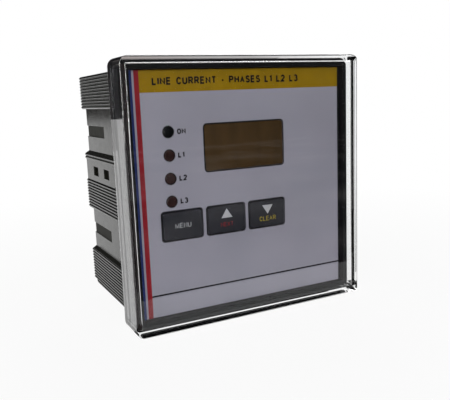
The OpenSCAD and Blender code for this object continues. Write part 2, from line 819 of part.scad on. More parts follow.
module rear_cover() {
    ledge_w = cavity_w + 2 * (rear_ledge - rear_gap);
    ledge_h = cavity_h + 2 * (rear_ledge - rear_gap);
    y_catch = y_rear_latch + latch_window_l / 2 - hook_gap;
    y_tip = y_rear_latch - latch_window_l / 2 + hook_gap;
    y_board = y_terminal_board + board_t;
    color("#2f3130") {
        difference() {
            union() {
                block(0, 0, ledge_w, ledge_h, y_rear_cover, y_back);
                at_fixings() post(0, 0, post_d, y_board, y_rear_cover + rear_t / 2);
            }
            for (z = [-1, 1])
                block(0, z * terminal_z, terminal_w + 2 * rear_gap, terminal_h + 2 * rear_gap,
                      y_rear_cover - cut, y_back + cut);
            at_fixings() post(0, 0, fixing_d + fixing_gap, y_board - cut, y_board + fixing_l + fixing_gap);
        }
        both_sides() latch(y_tip, y_rear_cover + rear_t / 2, y_catch, y_tip);
    }
}

// Ribbed block on the right side of the housing's outline, from height z0 to z1, with sloping shoulders
module ribbed_block(z0, z1, slope_low, slope_high) {
    base = crest_x - groove_d;
    count = round((z1 - z0) / rib_pitch);
    pitch = (z1 - z0) / count;
    polygon([[0, z0 - slope_low], [floor_x, z0 - slope_low], [base, z0], [base, z1],
             [floor_x, z1 + slope_high], [0, z1 + slope_high]]);
    foot = pitch * (1 - groove_share) / 2;
    top = foot - pitch * flank_share;
    for (i = [0:count - 1]) translate([0, z0 + (i + 0.5) * pitch])
        polygon([[0, -foot], [base, -foot], [crest_x, -top], [crest_x, top], [base, foot], [0, foot]]);
}

// Outline of the housing's right half
module housing_half() {
    translate([0, -body_h / 2]) square([floor_x, body_h]);
    translate([0, band_top]) square([strip_x, strip_h]);
    ribbed_block(recess_top, block_top, 0, 0);
    ribbed_block(strip_top, rib_top, shoulder, shoulder);
    ribbed_block(band_bottom, band_top, shoulder, shoulder);
    ribbed_block(-body_h / 2, lower_top, 0, shoulder);
}

module housing() {
    relief = [[y_back - relief_l, -body_h / 2 - cut], [y_back - relief_l, -body_h / 2],
              [y_back, relief_h - body_h / 2], [y_back + cut, relief_h - body_h / 2],
              [y_back + cut, -body_h / 2 - cut]];
    color("#2b2c2a") difference() {
        between(y_housing, y_back) {
            housing_half();
            mirror([1, 0]) housing_half();
        }
        block(0, 0, cavity_w, cavity_h, y_housing - cut, y_back + cut);
        block(0, 0, cavity_w + 2 * rear_ledge, cavity_h + 2 * rear_ledge, y_rear_cover, y_back + cut);
        for (y = [y_front_latch, y_rear_latch])
            block(0, latch_z, body_w + 2 * cut, latch_window_h,
                  y - latch_window_l / 2, y + latch_window_l / 2);
        both_sides() for (z = slot_zs)
            block(floor_x, z, 2 * slot_d, slot_h, y_back - slot_l, y_back + cut);
        translate([-crest_x - cut, 0, 0]) rotate([90, 0, 90])
            linear_extrude(body_w + 2 * cut) polygon(relief);
    }
}

placed() clear_cover();
placed() front_bezel();
placed() fascia_plate();
placed() front_label();
placed() display_window();
placed() led_on();
placed() led_l1();
placed() led_l2();
placed() led_l3();
placed() key_mode();
placed() key_up();
placed() key_down();
placed() plunger_mode();
placed() plunger_up();
placed() plunger_down();
placed() switch_mode();
placed() switch_up();
placed() switch_down();
placed() display_module();
placed() display_board();
placed() board_spacers();
placed() main_board();
placed() main_board_screws();
placed() front_header();
placed() rear_header();
placed() processor();
placed() crystal();
placed() memory_chip();
placed() terminal_board();
placed() terminal_board_screws();
placed() ct_l1();
placed() ct_l2();
placed() ct_l3();
placed() ct_primary_links();
placed() transformer_core();
placed() transformer_coil();
placed() bridge_rectifier();
placed() filter_capacitors();
placed() voltage_regulator();
placed() varistor();
placed() trip_relay();
placed() alarm_relay();
placed() terminal_block_upper();
placed() terminal_block_lower();
placed() terminal_screws();
placed() terminal_clamps();
placed() rear_cover();
placed() housing();
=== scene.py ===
"""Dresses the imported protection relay: finishes, soft edges, printed front, key caps and studio."""

import json
import math

import bmesh
import bpy
from mathutils import Euler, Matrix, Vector


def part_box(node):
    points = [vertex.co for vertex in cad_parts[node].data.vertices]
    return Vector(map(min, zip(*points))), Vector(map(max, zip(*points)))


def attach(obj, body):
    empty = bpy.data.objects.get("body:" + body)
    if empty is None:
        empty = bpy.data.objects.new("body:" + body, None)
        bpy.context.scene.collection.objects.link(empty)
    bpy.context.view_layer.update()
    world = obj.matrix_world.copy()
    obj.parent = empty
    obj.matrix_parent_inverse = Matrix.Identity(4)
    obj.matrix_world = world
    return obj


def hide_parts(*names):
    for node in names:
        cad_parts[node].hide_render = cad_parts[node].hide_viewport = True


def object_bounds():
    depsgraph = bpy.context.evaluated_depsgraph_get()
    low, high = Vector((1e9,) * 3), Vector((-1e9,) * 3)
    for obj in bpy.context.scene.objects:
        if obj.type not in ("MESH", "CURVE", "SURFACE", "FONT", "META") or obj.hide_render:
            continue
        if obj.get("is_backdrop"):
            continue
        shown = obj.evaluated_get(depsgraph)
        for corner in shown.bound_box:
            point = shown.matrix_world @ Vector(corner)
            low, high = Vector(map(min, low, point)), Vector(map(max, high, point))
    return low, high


MM = 0.001

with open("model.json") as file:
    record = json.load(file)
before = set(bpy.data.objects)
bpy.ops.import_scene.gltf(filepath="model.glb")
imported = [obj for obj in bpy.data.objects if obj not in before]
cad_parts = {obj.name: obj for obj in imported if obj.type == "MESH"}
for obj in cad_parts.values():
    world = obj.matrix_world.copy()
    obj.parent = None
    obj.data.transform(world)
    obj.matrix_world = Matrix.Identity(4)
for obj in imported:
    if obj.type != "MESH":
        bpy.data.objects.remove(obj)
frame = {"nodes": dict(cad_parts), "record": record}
nodes = frame["nodes"]
cad_low, cad_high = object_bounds()
scene = bpy.context.scene
scene.view_settings.view_transform = "Standard"


# Shader building blocks

WHITE = (1.0, 1.0, 1.0, 1.0)
NOISE_LOW, NOISE_HIGH = 0.3, 0.7


def to_linear(value):
    """Linear light from a screen value of 0 to 1."""
    return value / 12.92 if value <= 0.04045 else ((value + 0.055) / 1.055) ** 2.4


def screen(red, green, blue):
    """Linear colour from values of 0 to 255 as seen on a screen."""
    return tuple(to_linear(value / 255) for value in (red, green, blue))


def shade(colour, factor=1.0):
    """Colour made lighter or darker, with its alpha."""
    return tuple(min(1.0, channel * factor) for channel in colour) + (1.0,)


def new_material(name):
    """New node material, its node tree and its main shader."""
    material = bpy.data.materials.new(name)
    material.use_nodes = True
    return material, material.node_tree, material.node_tree.nodes["Principled BSDF"]


def object_place(tree):
    """Place on the object, in metres in the part's frame."""
    return tree.nodes.new("ShaderNodeTexCoord").outputs["Object"]


def component(tree, vector, axis):
    """One axis of a vector."""
    axes = tree.nodes.new("ShaderNodeSeparateXYZ")
    tree.links.new(vector, axes.inputs["Vector"])
    return axes.outputs[axis]


def compute(tree, operation, *values):
    """Result of a math node on one or two values."""
    node = tree.nodes.new("ShaderNodeMath")
    node.operation = operation
    for value, socket in zip(values, node.inputs):
        tree.links.new(value, socket)
    return node.outputs["Value"]


def remap(tree, value, start, end, low, high):
    """Carries a value from between start and end over to between low and high."""
    node = tree.nodes.new("ShaderNodeMapRange")
    node.inputs["From Min"].default_value = start
    node.inputs["From Max"].default_value = end
    node.inputs["To Min"].default_value = low
    node.inputs["To Max"].default_value = high
    tree.links.new(value, node.inputs["Value"])
    return node.outputs["Result"]


def noise(tree, size, detail=3.0, stretch=(1, 1, 1)):
    """Noise with features of about the given size in metres, longer along stretched axes."""
    mapping = tree.nodes.new("ShaderNodeMapping")
    mapping.inputs["Scale"].default_value = [1 / (size * s) for s in stretch]
    texture = tree.nodes.new("ShaderNodeTexNoise")
    texture.inputs["Scale"].default_value = 1.0
    texture.inputs["Detail"].default_value = detail
    tree.links.new(object_place(tree), mapping.inputs["Vector"])
    tree.links.new(mapping.outputs["Vector"], texture.inputs["Vector"])
    return texture.outputs["Fac"]


def ramp(tree, factor, *stops):
    """Colour ramp from (position, colour) stops."""
    node = tree.nodes.new("ShaderNodeValToRGB")
    elements = node.color_ramp.elements
    while len(elements) < len(stops):
        elements.new(0.5)
    for element, (position, colour) in zip(elements, stops):
        element.position = position
        element.color = colour
    tree.links.new(factor, node.inputs["Fac"])
    return node.outputs["Color"]


def tint(tree, shader, factor, colour, dark, pale):
    """Base colour that goes from a darker to a paler shade with a noise."""
    stops = ((NOISE_LOW, shade(colour, dark)), (NOISE_HIGH, shade(colour, pale)))
    tree.links.new(ramp(tree, factor, *stops), shader.inputs["Base Color"])


def uneven_gloss(tree, shader, factor, smooth, rough):
    """Roughness that goes from smooth to rough with a noise."""
    roughness = remap(tree, factor, NOISE_LOW, NOISE_HIGH, smooth, rough)
    tree.links.new(roughness, shader.inputs["Roughness"])


def bump(tree, shader, height, depth):
    """Bumps of the given depth in metres."""
    node = tree.nodes.new("ShaderNodeBump")
    node.inputs["Distance"].default_value = depth
    tree.links.new(height, node.inputs["Height"])
    tree.links.new(node.outputs["Normal"], shader.inputs["Normal"])


def mix_shaders(tree, first, second, output):
    """Mixes two shaders into an output, and returns the mixing factor's socket."""
    mix = tree.nodes.new("ShaderNodeMixShader")
    tree.links.new(first.outputs[0], mix.inputs[1])
    tree.links.new(second.outputs[0], mix.inputs[2])
    tree.links.new(mix.outputs["Shader"], output.inputs["Surface"])
    return mix.inputs["Fac"]


# Kinds of finish

GRAIN, GRAIN_DEPTH = 0.35 * MM, 0.008 * MM
MOULD_MOTTLE, MOULD_SHEEN = 0.1, 0.06


def moulded(name, colour, roughness, gloss=0.35, patch=9 * MM):
    """Moulded plastic: cloudy colour, uneven sheen and a fine spark-eroded grain."""
    material, tree, shader = new_material(name)
    tint(tree, shader, noise(tree, patch), colour, 1 - MOULD_MOTTLE, 1 + MOULD_MOTTLE)
    uneven_gloss(tree, shader, noise(tree, patch / 4), roughness - MOULD_SHEEN, roughness + MOULD_SHEEN)
    shader.inputs["Specular IOR Level"].default_value = gloss
    bump(tree, shader, noise(tree, GRAIN, detail=2.0), GRAIN_DEPTH)
    return material


TARNISH, POLISH = 0.72, 1.05
TARNISH_END = 0.65
BRIGHTER, DULLER = 0.08, 0.12
STREAK_DEPTH = 0.01 * MM


def metal(name, colour, roughness, stretch=(1, 1, 1), size=1.5 * MM):
    """Bare metal with drawn streaks and a little tarnish."""
    material, tree, shader = new_material(name)
    streaks = noise(tree, size, detail=5.0, stretch=stretch)
    stops = ((NOISE_LOW, shade(colour, TARNISH)), (TARNISH_END, shade(colour, POLISH)))
    tree.links.new(ramp(tree, streaks, *stops), shader.inputs["Base Color"])
    uneven_gloss(tree, shader, noise(tree, size / 2), roughness - BRIGHTER, roughness + DULLER)
    shader.inputs["Metallic"].default_value = 1.0
    bump(tree, shader, streaks, STREAK_DEPTH)
    return material


CAST_SMOOTH, CAST_ROUGH = 0.6, 1.5


def glossy_cast(name, colour, roughness=0.12, mottle=0.25, patch=1.6 * MM, gloss=0.3, stretch=(1, 1, 1)):
    """Glossy tinted plastic, such as a lens or a case."""
    material, tree, shader = new_material(name)
    tint(tree, shader, noise(tree, patch, stretch=stretch), colour, 1 - mottle, 1 + mottle)
    uneven_gloss(tree, shader, noise(tree, patch / 2), roughness * CAST_SMOOTH, roughness * CAST_ROUGH)
    shader.inputs["Specular IOR Level"].default_value = gloss
    return material


PRINT_ROUGHNESS = (0.4, 0.5)
PRINT_GLOSS = 0.1
INK_CLOUD, INK_SPOT = 5 * MM, 0.8 * MM
INK_THIN, INK_FULL = 1.08, 0.92
INK_MESH, INK_MESH_DEPTH = 0.15 * MM, 0.002 * MM


def ink(name, colour):
    """Screen printed ink: an even field with a faint mesh and thin spots."""
    material, tree, shader = new_material(name)
    tint(tree, shader, noise(tree, INK_CLOUD), colour, INK_FULL, INK_THIN)
    uneven_gloss(tree, shader, noise(tree, INK_SPOT), *PRINT_ROUGHNESS)
    shader.inputs["Specular IOR Level"].default_value = PRINT_GLOSS
    bump(tree, shader, noise(tree, INK_MESH, detail=1.0), INK_MESH_DEPTH)
    return material


# Finishes of the part

FLOW_TINT = (0.97, 0.985, 0.99, 1.0)
FLOW_PATCH = 30 * MM
FLOW_LINE, FLOW_DEPTH = 14 * MM, 0.015 * MM
COVER_IOR, COVER_ROUGHNESS = 1.49, 0.015


def clear_plastic():
    """Clear moulded plastic that lets lamps through, with faint flow lines."""
    material, tree, shader = new_material("clear_plastic")
    tints = ramp(tree, noise(tree, FLOW_PATCH), (NOISE_LOW, FLOW_TINT), (NOISE_HIGH, WHITE))
    tree.links.new(tints, shader.inputs["Base Color"])
    shader.inputs["Transmission Weight"].default_value = 1.0
    shader.inputs["IOR"].default_value = COVER_IOR
    shader.inputs["Roughness"].default_value = COVER_ROUGHNESS
    bump(tree, shader, noise(tree, FLOW_LINE, detail=1.0), FLOW_DEPTH)
    open_to_lamps = tree.nodes.new("ShaderNodeBsdfTransparent")
    shadow_ray = tree.nodes.new("ShaderNodeLightPath").outputs["Is Shadow Ray"]
    tree.links.new(shadow_ray, mix_shaders(tree, shader, open_to_lamps, tree.nodes["Material Output"]))
    return material


SLOT_FLOOR, RECESS_FLOOR = 2.2 * MM, 2.0 * MM
SLOT_ROUGHNESS, HOUSING_ROUGHNESS = 0.9, 0.18
SHEEN_PATCH, SHEEN_DROP, SHEEN_RISE = 3 * MM, -0.04, 0.06
DUST_PATCH, DUST_DARK, DUST_PALE = 7 * MM, 0.8, 1.2
HOUSING_GLOSS = 0.37
FINE_GRAIN, FINE_DEPTH = 0.3 * MM, 0.002 * MM


def half_width(name):
    """Half the width of a CAD node that is centred on X."""
    low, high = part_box(name)
    return (high.x - low.x) / 2


def housing_plastic():
    """Black semi-gloss moulded plastic, matt on the sunk floors of the clamp slots."""
    material, tree, shader = new_material("housing_plastic")
    crest = half_width("housing")
    out = compute(tree, "ABSOLUTE", component(tree, object_place(tree), "X"))
    sheen = remap(tree, out, crest - SLOT_FLOOR, crest - RECESS_FLOOR, SLOT_ROUGHNESS, HOUSING_ROUGHNESS)
    patches = remap(tree, noise(tree, SHEEN_PATCH), NOISE_LOW, NOISE_HIGH, SHEEN_DROP, SHEEN_RISE)
    tree.links.new(compute(tree, "ADD", sheen, patches), shader.inputs["Roughness"])
    tint(tree, shader, noise(tree, DUST_PATCH, detail=5.0), screen(30, 30, 26), DUST_DARK, DUST_PALE)
    shader.inputs["Specular IOR Level"].default_value = HOUSING_GLOSS
    bump(tree, shader, noise(tree, FINE_GRAIN, detail=2.0), FINE_DEPTH)
    return material


TRACK_PITCH, TRACK_SHARE, TRACK_RISE = 6 * MM, 0.03, 0.03 * MM
BOARD_PATCH, BOARD_ROUGHNESS = 4 * MM, (0.25, 0.4)


def circuit_board():
    """Solder mask with paler copper tracks under it."""
    material, tree, shader = new_material("circuit_board")
    tracks = tree.nodes.new("ShaderNodeTexBrick")
    tracks.inputs["Scale"].default_value = 1 / TRACK_PITCH
    tracks.inputs["Mortar Size"].default_value = TRACK_SHARE
    tracks.inputs["Color1"].default_value = shade(screen(20, 82, 44))
    tracks.inputs["Color2"].default_value = shade(screen(18, 74, 40))
    tracks.inputs["Mortar"].default_value = shade(screen(46, 120, 66))
    turn = tree.nodes.new("ShaderNodeMapping")
    turn.inputs["Rotation"].default_value = (math.radians(90), 0, 0)
    tree.links.new(object_place(tree), turn.inputs["Vector"])
    tree.links.new(turn.outputs["Vector"], tracks.inputs["Vector"])
    tree.links.new(tracks.outputs["Color"], shader.inputs["Base Color"])
    uneven_gloss(tree, shader, noise(tree, BOARD_PATCH), *BOARD_ROUGHNESS)
    bump(tree, shader, tracks.outputs["Fac"], TRACK_RISE)
    return material


LABEL_CLOUD, LABEL_DARK, LABEL_PALE = 26 * MM, 0.95, 1.06
LABEL_SPOT = 1.2 * MM
LABEL_GRAIN, LABEL_DEPTH = 0.2 * MM, 0.003 * MM


def label_film():
    """Pale printed film under the cover, a little cloudy; its ground is greyed as painted shade."""
    material, tree, shader = new_material("label_film")
    # Grey ground: the white film darkened by painted shade
    shaded_ground = screen(136, 134, 145)
    tint(tree, shader, noise(tree, LABEL_CLOUD, detail=2.0), shaded_ground, LABEL_DARK, LABEL_PALE)
    uneven_gloss(tree, shader, noise(tree, LABEL_SPOT), *PRINT_ROUGHNESS)
    shader.inputs["Specular IOR Level"].default_value = PRINT_GLOSS
    bump(tree, shader, noise(tree, LABEL_GRAIN, detail=1.0), LABEL_DEPTH)
    return material


def smoked_window():
    """Brown smoked plastic, dark and glossy, with upright clouds that are a painted reflection of the
    display film behind it.
    """
    brown = screen(56, 42, 24)
    # The upright stretch makes the streaks of the painted reflection
    return glossy_cast("smoked_window", brown, roughness=0.16, mottle=0.22, patch=7 * MM, gloss=0.2,
                       stretch=(1, 1, 5))


def laminations():
    """Stacked core sheets, dull steel with varnish between them."""
    return metal("core_steel", screen(120, 122, 126), 0.5, stretch=(1, 1, 0.12), size=3 * MM)


finishes = {
    "clear_plastic": clear_plastic(),
    "bezel_plastic": moulded("bezel_plastic", screen(9, 9, 11), roughness=0.4, gloss=0.12),
    "fascia_plastic": moulded("fascia_plastic", screen(30, 30, 34), roughness=0.5),
    "label_print": label_film(),
    "smoked_window": smoked_window(),
    "green_lens": glossy_cast("green_lens", screen(9, 10, 12), gloss=0.2),
    "red_lens": glossy_cast("red_lens", screen(40, 26, 25), gloss=0.2),
    "key_plastic": moulded("key_plastic", screen(38, 38, 43), roughness=0.42, gloss=0.12, patch=5 * MM),
    "black_plastic": moulded("black_plastic", screen(30, 30, 31), roughness=0.45, patch=4 * MM),
    "circuit_board": circuit_board(),
    "steel": metal("steel", screen(200, 200, 196), roughness=0.3),
    "ct_case": moulded("ct_case", screen(38, 66, 122), roughness=0.35, patch=5 * MM),
    "copper": metal("copper", screen(212, 134, 90), roughness=0.3, stretch=(1, 1, 6)),
    "core_steel": laminations(),
    "coil_tape": moulded("coil_tape", screen(190, 132, 48), roughness=0.3, patch=3 * MM),
    "capacitor_sleeve": glossy_cast("capacitor_sleeve", screen(34, 48, 84), roughness=0.25, patch=5 * MM),
    "varistor_coat": glossy_cast("varistor_coat", screen(190, 92, 36), roughness=0.3, patch=3 * MM),
    "relay_case": glossy_cast("relay_case", screen(44, 76, 148), roughness=0.25, patch=5 * MM),
    "terminal_plastic": moulded("terminal_plastic", screen(40, 41, 41), roughness=0.48),
    "brass": metal("brass", screen(206, 172, 98), roughness=0.28),
    "rear_plastic": moulded("rear_plastic", screen(34, 34, 33), roughness=0.5),
    "housing_plastic": housing_plastic(),
}
slots = {part["node"]: part["material_slot"] for part in frame["record"]["subparts"]}
for name, node in nodes.items():
    node.data.materials.clear()
    node.data.materials.append(finishes[slots[name]])


# Soft edges on the moulded parts

HOUSING_EDGE, CASE_EDGE = 0.14 * MM, 0.15 * MM
SHARP = math.radians(35)
WELD_REACH = 0.001 * MM


def soften(name, width, segments=2, clamp=True):
    """Rounds a CAD node's sharp edges by a small radius."""
    node = nodes[name]
    weld = node.modifiers.new("weld", "WELD")
    weld.merge_threshold = WELD_REACH
    bevel = node.modifiers.new("soft_edges", "BEVEL")
    bevel.width = width
    bevel.segments = segments
    bevel.limit_method = "ANGLE"
    bevel.angle_limit = SHARP
    bevel.harden_normals = True
    bevel.use_clamp_overlap = clamp


# A clamped bevel would keep the housing's ribs sharp, because their grooves have narrow floors
soften("housing", HOUSING_EDGE, segments=3, clamp=False)
for name in ("front_bezel", "rear_cover", "terminal_block_upper", "terminal_block_lower"):
    soften(name, CASE_EDGE)


# Pieces that the scene adds

CORNER_POINTS = 6


def finish_mesh(name, bm, material, body):
    """Turns a bmesh into a piece that rides on a body."""
    bmesh.ops.recalc_face_normals(bm, faces=bm.faces)
    mesh = bpy.data.meshes.new(name)
    bm.to_mesh(mesh)
    bm.free()
    mesh.materials.append(material)
    piece = bpy.data.objects.new(name, mesh)
    scene.collection.objects.link(piece)
    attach(piece, body)
    return piece


def bridge(bm, first, second):
    """Joins two closed loops of points by a band of faces."""
    for i in range(len(first)):
        j = (i + 1) % len(first)
        bm.faces.new((first[i], second[i], second[j], first[j]))


def add_skin(bm, loops):
    """Adds a closed skin over loops of places, with a face on each end."""
    rows = [[bm.verts.new(place) for place in loop] for loop in loops]
    for first, second in zip(rows, rows[1:]):
        bridge(bm, first, second)
    bm.faces.new(rows[0])
    bm.faces.new(reversed(rows[-1]))


def add_plate(bm, outline, front, back):
    """Adds a thin plate whose outline is given in X and Z."""
    add_skin(bm, [[(x, y, z) for x, z in outline] for y in (front, back)])


def rounded_ring(half_w, half_h, radius):
    """Points of a rectangle with round corners, centred, in X and Z."""
    points = []
    for quarter, (side, end) in enumerate(((1, 1), (-1, 1), (-1, -1), (1, -1))):
        corner_x, corner_z = side * (half_w - radius), end * (half_h - radius)
        for step in range(CORNER_POINTS + 1):
            angle = math.radians(90) * (quarter + step / CORNER_POINTS)
            points.append((corner_x + radius * math.cos(angle), corner_z + radius * math.sin(angle)))
    return points


# Inks and printed fields

INK_T = 0.03 * MM
INK_SUNK = 0.01 * MM

blue_ink = ink("blue_ink", screen(34, 46, 96))
red_ink = ink("red_ink", screen(126, 28, 36))
yellow_ink = ink("yellow_ink", screen(128, 100, 4))
black_ink_and_shade = ink("black_ink_and_shade", screen(16, 16, 18))
white_ink = ink("white_ink", screen(168, 168, 172))
red_legend = ink("red_legend", screen(122, 26, 30))
yellow_legend = ink("yellow_legend", screen(150, 132, 34))

BLUE_W, WHITE_W, RED_W = 1.25 * MM, 0.75 * MM, 1.75 * MM
MARGIN_W = 0.95 * MM
BAND_H = 7.5 * MM
RULE_DROP, RULE_T = 35.6 * MM, 0.6 * MM

label_low, label_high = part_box("front_label")
label_y = label_low.y
left, right = label_low.x, label_high.x
bottom, top = label_low.z, label_high.z
blue_right = left + BLUE_W
red_left = blue_right + WHITE_W
red_right = red_left + RED_W
margin_left = right - MARGIN_W
rule_z = (bottom + top) / 2 - RULE_DROP


def print_field(name, x0, x1, z0, z1, material):
    """One printed rectangle on the label."""
    bm = bmesh.new()
    outline = [(x0, z0), (x1, z0), (x1, z1), (x0, z1)]
    add_plate(bm, outline, label_y - INK_T, label_y + INK_SUNK)
    finish_mesh(name, bm, material, "case")


print_field("print_blue_stripe", left, blue_right, bottom, top, blue_ink)
print_field("print_red_stripe", red_left, red_right, bottom, top, red_ink)
print_field("print_yellow_band", red_right, margin_left, top - BAND_H, top, yellow_ink)
print_field("print_black_margin", margin_left, right, bottom, top, black_ink_and_shade)
print_field("print_rule", red_right, margin_left, rule_z - RULE_T / 2, rule_z + RULE_T / 2, black_ink_and_shade)


# Lettering

CAP = 6.0
ARC_STEP = 30
MITRE_LIMIT = 0.4


def arc(x, z, half_w, half_h, start, end):
    """Points on part of an ellipse, from one angle to another in degrees."""
    steps = math.ceil(abs(end - start) / ARC_STEP)
    angles = [math.radians(start + (end - start) * i / steps) for i in range(steps + 1)]
    return [(x + half_w * math.cos(a), z + half_h * math.sin(a)) for a in angles]


# Width and strokes of each capital and number, with capitals CAP units high
GLYPHS = {
    "A": (4, [(0, 0), (2, 6), (4, 0)], [(0.8, 2), (3.2, 2)]),
    "C": (4, arc(2.1, 3, 2.1, 3, 32, 328)),
    "E": (3.6, [(3.6, 6), (0, 6), (0, 0), (3.6, 0)], [(0, 3.1), (3.3, 3.1)]),
    "H": (4, [(0, 0), (0, 6)], [(4, 0), (4, 6)], [(0, 3.1), (4, 3.1)]),
    "I": (0, [(0, 0), (0, 6)]),
    "L": (3.3, [(0, 6), (0, 0), (3.3, 0)]),
    "M": (4.8, [(0, 0), (0, 6), (2.4, 0.6), (4.8, 6), (4.8, 0)]),
    "N": (4, [(0, 0), (0, 6), (4, 0), (4, 6)]),
    "O": (4.4, arc(2.2, 3, 2.2, 3, 90, 450)),
    "P": (3.8, [(0, 0), (0, 6), *arc(2.4, 4.45, 1.4, 1.55, 90, -90), (0, 2.9)]),
    "R": (4, [(0, 0), (0, 6), *arc(2.4, 4.5, 1.4, 1.5, 90, -90), (0, 3)], [(2.1, 3), (4, 0)]),
    "S": (3.8, arc(2, 4.55, 1.7, 1.45, 15, 270) + arc(2, 1.55, 1.8, 1.55, 90, -165)[1:]),
    "T": (4, [(0, 6), (4, 6)], [(2, 6), (2, 0)]),
    "U": (4, [(0, 6), *arc(2, 2, 2, 2, 180, 360), (4, 6)]),
    "X": (4, [(0, 0), (4, 6)], [(0, 6), (4, 0)]),
    "1": (1.6, [(0.1, 4.7), (1.6, 6), (1.6, 0)]),
    "2": (3.7, [*arc(1.9, 4.4, 1.7, 1.6, 175, -50), (0, 0), (3.7, 0)]),
    "3": (3.7, arc(1.8, 4.6, 1.6, 1.4, 150, -90), arc(1.8, 1.6, 1.9, 1.6, 90, -150)),
    "-": (2, [(0, 2.4), (2, 2.4)]),
    " ": (2.0,),
}


def stroke_sides(points, half):
    """Left and right edge of a stroke along a line of points, level at the cap line and the base line."""
    line = [Vector(point) for point in points]
    steps = [(b - a).normalized() for a, b in zip(line, line[1:])]
    sides = []
    for point, before, after in zip(line, steps[:1] + steps, steps + steps[-1:]):
        along = (before + after).normalized()
        across = Vector((-along.y, along.x))
        reach = half / max(MITRE_LIMIT, along.dot(before))
        pair = [point + across * reach, point - across * reach]
        for corner in pair:
            corner.y = min(CAP + half, max(-half, corner.y))
        sides.append(pair)
    return sides


def add_stroke(bm, sides, corner, unit, front, back):
    """Adds one stroke as a thin closed strip, from its letter's lower left corner in X and Z."""
    loops = []
    for pair in sides:
        (x0, z0), (x1, z1) = [corner + side * unit for side in pair]
        loops.append([(x0, front, z0), (x1, front, z1), (x1, back, z1), (x0, back, z0)])
    add_skin(bm, loops)


def lettering(name, words, style, place, material, body, middle=False):
    """Plain printed capitals in one line that faces the front, from a place or with their middle on it."""
    height, weight, gap = style
    x, y, z = place
    unit = height / (CAP + weight)
    pitch = weight + gap
    width = sum(GLYPHS[letter][0] + pitch for letter in words) - gap
    start = x - (width / 2 if middle else 0) * unit
    bm = bmesh.new()
    at = weight / 2
    for letter in words:
        corner = Vector((start + at * unit, z - CAP / 2 * unit))
        for points in GLYPHS[letter][1:]:
            add_stroke(bm, stroke_sides(points, weight / 2), corner, unit, y - INK_T, y + INK_SUNK)
        at += GLYPHS[letter][0] + pitch
    finish_mesh(name, bm, material, body)


# Each style is the height in metres, then the weight and the gap between letters in glyph units
HEADING_STYLE = (2.65 * MM, 1.75, 0.9)
LAMP_STYLE = (2.05 * MM, 1.9, 0.7)
MENU_STYLE = (1.8 * MM, 0.75, 1.2)
NEXT_STYLE = (1.6 * MM, 0.85, 1.1)
CLEAR_STYLE = (1.8 * MM, 0.85, 1.1)

HEADING = "LINE CURRENT - PHASES L1 L2 L3"
HEADING_INSET = 8.3 * MM
LAMP_WORDS = {"led_on": "ON", "led_l1": "L1", "led_l2": "L2", "led_l3": "L3"}
LAMP_WORD_SPACE = 1.0 * MM

heading_at = (left + HEADING_INSET, label_y - INK_T, top - BAND_H / 2)
lettering("print_heading", HEADING, HEADING_STYLE, heading_at, black_ink_and_shade, "case")
for lamp, words in LAMP_WORDS.items():
    low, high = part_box(lamp)
    word_at = (high.x + LAMP_WORD_SPACE, label_y, (low.z + high.z) / 2)
    legend = "legend_" + lamp.removeprefix("led_")
    lettering(legend, words, LAMP_STYLE, word_at, black_ink_and_shade, "case")


# Black rings round the window and the keys: painted shade of the gaps round them

WINDOW_GAP, WINDOW_SHADE_W, WINDOW_R = 0.15 * MM, 0.4 * MM, 1.0 * MM
KEY_GAP, KEY_SHADE_W = 0.35 * MM, 0.25 * MM


def painted_gap_shade(name, box, gap, width, radius):
    """Black ring round an opening of the label: a black line that is also painted shade of the gap round
    the opening.
    """
    low, high = box
    middle = (low + high) / 2
    half_w, half_h = (high.x - low.x) / 2 + gap, (high.z - low.z) / 2 + gap
    inner = rounded_ring(half_w, half_h, radius + gap)
    outer = rounded_ring(half_w + width, half_h + width, radius + gap + width)
    front, back = label_y - INK_T, label_y + INK_SUNK
    bm = bmesh.new()
    rows = []
    for points, y in ((outer, front), (inner, front), (inner, back), (outer, back)):
        rows.append([bm.verts.new((middle.x + x, y, middle.z + z)) for x, z in points])
    for first, second in zip(rows, rows[1:] + rows[:1]):
        bridge(bm, first, second)
    finish_mesh(name, bm, black_ink_and_shade, "case")


painted_gap_shade("painted_shade_window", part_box("display_window"), WINDOW_GAP, WINDOW_SHADE_W, WINDOW_R)


# Keys with crowned fronts, and their legends

KEY_FLANGE_W, KEY_FLANGE_T = 0.8 * MM, 1.0 * MM
KEY_R = 1.0 * MM
# Inset and depth of each ring of the crown, from the front to the side
CROWN = ((0.9 * MM, 0.0), (0.35 * MM, 0.03 * MM), (0.12 * MM, 0.12 * MM), (0.0, 0.32 * MM))
CROWN_SHRINK = 0.5 * MM


